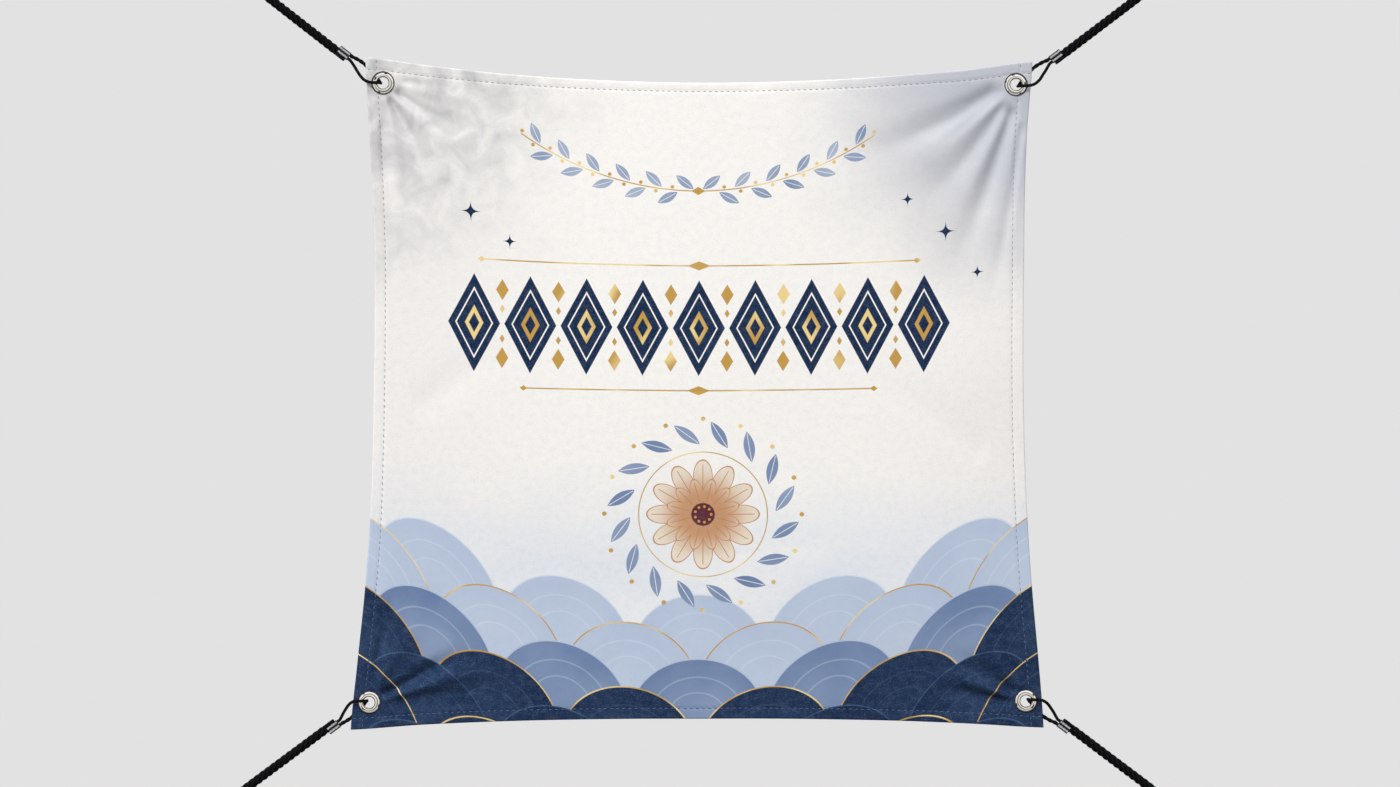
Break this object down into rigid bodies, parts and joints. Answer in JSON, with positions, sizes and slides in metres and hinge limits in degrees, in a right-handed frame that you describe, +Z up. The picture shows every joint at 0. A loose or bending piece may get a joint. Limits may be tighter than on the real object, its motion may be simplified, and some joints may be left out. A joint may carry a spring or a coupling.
{
  "type": "fabric banner with four corner ropes",
  "caption": "Square canvas banner, hemmed, with nickel eyelets, cord loops, ferrules and four black twisted ropes that hold it out at its corners.",
  "frame": {"origin": "middle of the banner's top edge, halfway through the cloth", "axes": "+X to the right as seen from the printed front, +Y from the front to the back through the cloth, +Z up"},
  "size_m": [0.9502, 0.0137, 0.8394],
  "materials": {
    "cloth": "matte",
    "nickel": "polished",
    "ferrule_metal": "brushed",
    "cord": "matte"
  },
  "bodies": {
    "root": {"banner_cloth": "cloth", "eyelet_top_left": "nickel", "washer_top_left": "nickel", "loop_top_left": "cord", "ferrule_top_left": "ferrule_metal", "tail_top_left": "cord", "rope_top_left": "cord", "seizing_top_left": "cord", "eyelet_top_right": "nickel", "washer_top_right": "nickel", "loop_top_right": "cord", "ferrule_top_right": "ferrule_metal", "tail_top_right": "cord", "rope_top_right": "cord", "seizing_top_right": "cord", "eyelet_bottom_left": "nickel", "washer_bottom_left": "nickel", "loop_bottom_left": "cord", "ferrule_bottom_left": "ferrule_metal", "tail_bottom_left": "cord", "rope_bottom_left": "cord", "seizing_bottom_left": "cord", "eyelet_bottom_right": "nickel", "washer_bottom_right": "nickel", "loop_bottom_right": "cord", "ferrule_bottom_right": "ferrule_metal", "tail_bottom_right": "cord", "rope_bottom_right": "cord", "seizing_bottom_right": "cord"}
  },
  "joints": []
}
